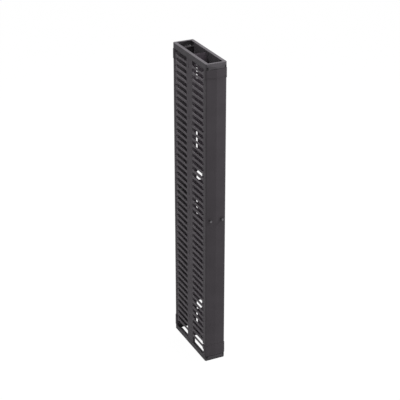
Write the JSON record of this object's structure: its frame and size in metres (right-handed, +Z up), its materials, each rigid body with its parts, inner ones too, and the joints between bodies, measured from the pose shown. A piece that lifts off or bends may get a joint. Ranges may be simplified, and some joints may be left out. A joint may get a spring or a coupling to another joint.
{
  "type": "vertical cable manager",
  "caption": "Tall double-sided cable manager for the side of a rack, with T-headed fingers and a creased, knob-latched door front and rear.",
  "frame": {"origin": "middle of the footprint, on the floor", "axes": "+X to the right seen from the front, +Y from the front door to the rear door, +Z up"},
  "size_m": [0.1496, 0.525, 2.1254],
  "materials": {
    "frame_sheet": "fine-textured black powder coat",
    "cap_moulding": "fine-grained black moulding",
    "finger_moulding": "fine-grained black moulding",
    "door_sheet": "smooth satin black paint",
    "door_moulding": "fine-grained black moulding",
    "knob_moulding": "smooth black moulding",
    "bare_steel": "drawn and zinc-plated",
    "blackened_steel": "oiled black oxide",
    "black_screw": "black zinc",
    "gear_moulding": "natural acetal"
  },
  "bodies": {
    "frame": {"top_cap": "cap_moulding", "base": "cap_moulding", "left_strip": "frame_sheet", "right_strip": "frame_sheet", "strip_screws": "black_screw", "divider": "frame_sheet", "front_left_fingers_lower": "finger_moulding", "front_left_fingers_middle": "finger_moulding", "front_left_fingers_upper": "finger_moulding", "front_right_fingers_lower": "finger_moulding", "front_right_fingers_middle": "finger_moulding", "front_right_fingers_upper": "finger_moulding", "rear_left_fingers_lower": "finger_moulding", "rear_left_fingers_middle": "finger_moulding", "rear_left_fingers_upper": "finger_moulding", "rear_right_fingers_lower": "finger_moulding", "rear_right_fingers_middle": "finger_moulding", "rear_right_fingers_upper": "finger_moulding"},
    "front_door": {"front_door_panel": "door_sheet", "front_door_upper_cap": "door_moulding", "front_door_lower_cap": "door_moulding", "front_end_cap_screws": "black_screw", "front_knob_bezels": "knob_moulding", "front_bolt_guides": "gear_moulding", "front_left_latch_bracket": "bare_steel", "front_right_latch_bracket": "bare_steel"},
    "front_left_latch": {"front_left_knob": "knob_moulding", "front_left_knob_nut": "bare_steel", "front_left_pinion": "gear_moulding"},
    "front_left_upper_bolt_body": {"front_left_upper_bolt": "blackened_steel"},
    "front_left_lower_bolt_body": {"front_left_lower_bolt": "blackened_steel"},
    "front_right_latch": {"front_right_knob": "knob_moulding", "front_right_knob_nut": "bare_steel", "front_right_pinion": "gear_moulding"},
    "front_right_upper_bolt_body": {"front_right_upper_bolt": "blackened_steel"},
    "front_right_lower_bolt_body": {"front_right_lower_bolt": "blackened_steel"},
    "rear_door": {"rear_door_panel": "door_sheet", "rear_door_upper_cap": "door_moulding", "rear_door_lower_cap": "door_moulding", "rear_end_cap_screws": "black_screw", "rear_knob_bezels": "knob_moulding", "rear_bolt_guides": "gear_moulding", "rear_left_latch_bracket": "bare_steel", "rear_right_latch_bracket": "bare_steel"},
    "rear_left_latch": {"rear_left_knob": "knob_moulding", "rear_left_knob_nut": "bare_steel", "rear_left_pinion": "gear_moulding"},
    "rear_left_upper_bolt_body": {"rear_left_upper_bolt": "blackened_steel"},
    "rear_left_lower_bolt_body": {"rear_left_lower_bolt": "blackened_steel"},
    "rear_right_latch": {"rear_right_knob": "knob_moulding", "rear_right_knob_nut": "bare_steel", "rear_right_pinion": "gear_moulding"},
    "rear_right_upper_bolt_body": {"rear_right_upper_bolt": "blackened_steel"},
    "rear_right_lower_bolt_body": {"rear_right_lower_bolt": "blackened_steel"}
  },
  "joints": [
    {"name": "front_door_hinge", "type": "hinge", "parent": "frame", "child": "front_door", "pos_m": [-0.0618, -0.23775, 0], "axis": [0, 0, -1], "range_deg": [0, 120]},
    {"name": "front_left_knob_turn", "type": "hinge", "parent": "front_door", "child": "front_left_latch", "pos_m": [-0.0417, -0.23775, 1.06], "axis": [0, -1, 0], "range_deg": [0, 70]},
    {"name": "front_left_upper_bolt_slide", "type": "slide", "parent": "front_door", "child": "front_left_upper_bolt_body", "axis": [0, 0, -1], "range_m": [0, 0.0147]},
    {"name": "front_left_lower_bolt_slide", "type": "slide", "parent": "front_door", "child": "front_left_lower_bolt_body", "axis": [0, 0, 1], "range_m": [0, 0.0146], "stiffness_N_per_m": 300, "springref_m": -0.012},
    {"name": "front_right_knob_turn", "type": "hinge", "parent": "front_door", "child": "front_right_latch", "pos_m": [0.0417, -0.23775, 1.06], "axis": [0, 1, 0], "range_deg": [0, 70]},
    {"name": "front_right_upper_bolt_slide", "type": "slide", "parent": "front_door", "child": "front_right_upper_bolt_body", "axis": [0, 0, -1], "range_m": [0, 0.0147]},
    {"name": "front_right_lower_bolt_slide", "type": "slide", "parent": "front_door", "child": "front_right_lower_bolt_body", "axis": [0, 0, 1], "range_m": [0, 0.0146], "stiffness_N_per_m": 300, "springref_m": -0.012},
    {"name": "rear_door_hinge", "type": "hinge", "parent": "frame", "child": "rear_door", "pos_m": [0.0618, 0.23775, 0], "axis": [0, 0, -1], "range_deg": [0, 120]},
    {"name": "rear_left_knob_turn", "type": "hinge", "parent": "rear_door", "child": "rear_left_latch", "pos_m": [0.0417, 0.23775, 1.06], "axis": [0, 1, 0], "range_deg": [0, 70]},
    {"name": "rear_left_upper_bolt_slide", "type": "slide", "parent": "rear_door", "child": "rear_left_upper_bolt_body", "axis": [0, 0, -1], "range_m": [0, 0.0147]},
    {"name": "rear_left_lower_bolt_slide", "type": "slide", "parent": "rear_door", "child": "rear_left_lower_bolt_body", "axis": [0, 0, 1], "range_m": [0, 0.0146], "stiffness_N_per_m": 300, "springref_m": -0.012},
    {"name": "rear_right_knob_turn", "type": "hinge", "parent": "rear_door", "child": "rear_right_latch", "pos_m": [-0.0417, 0.23775, 1.06], "axis": [0, -1, 0], "range_deg": [0, 70]},
    {"name": "rear_right_upper_bolt_slide", "type": "slide", "parent": "rear_door", "child": "rear_right_upper_bolt_body", "axis": [0, 0, -1], "range_m": [0, 0.0147]},
    {"name": "rear_right_lower_bolt_slide", "type": "slide", "parent": "rear_door", "child": "rear_right_lower_bolt_body", "axis": [0, 0, 1], "range_m": [0, 0.0146], "stiffness_N_per_m": 300, "springref_m": -0.012}
  ],
  "couplings": [
    {"joint": "front_left_knob_turn", "follows": "front_left_lower_bolt_slide", "rad_per_m": 83.333},
    {"joint": "front_left_upper_bolt_slide", "follows": "front_left_lower_bolt_slide", "ratio": 1},
    {"joint": "front_right_knob_turn", "follows": "front_right_lower_bolt_slide", "rad_per_m": 83.333},
    {"joint": "front_right_upper_bolt_slide", "follows": "front_right_lower_bolt_slide", "ratio": 1},
    {"joint": "rear_left_knob_turn", "follows": "rear_left_lower_bolt_slide", "rad_per_m": 83.333},
    {"joint": "rear_left_upper_bolt_slide", "follows": "rear_left_lower_bolt_slide", "ratio": 1},
    {"joint": "rear_right_knob_turn", "follows": "rear_right_lower_bolt_slide", "rad_per_m": 83.333},
    {"joint": "rear_right_upper_bolt_slide", "follows": "rear_right_lower_bolt_slide", "ratio": 1}
  ]
}
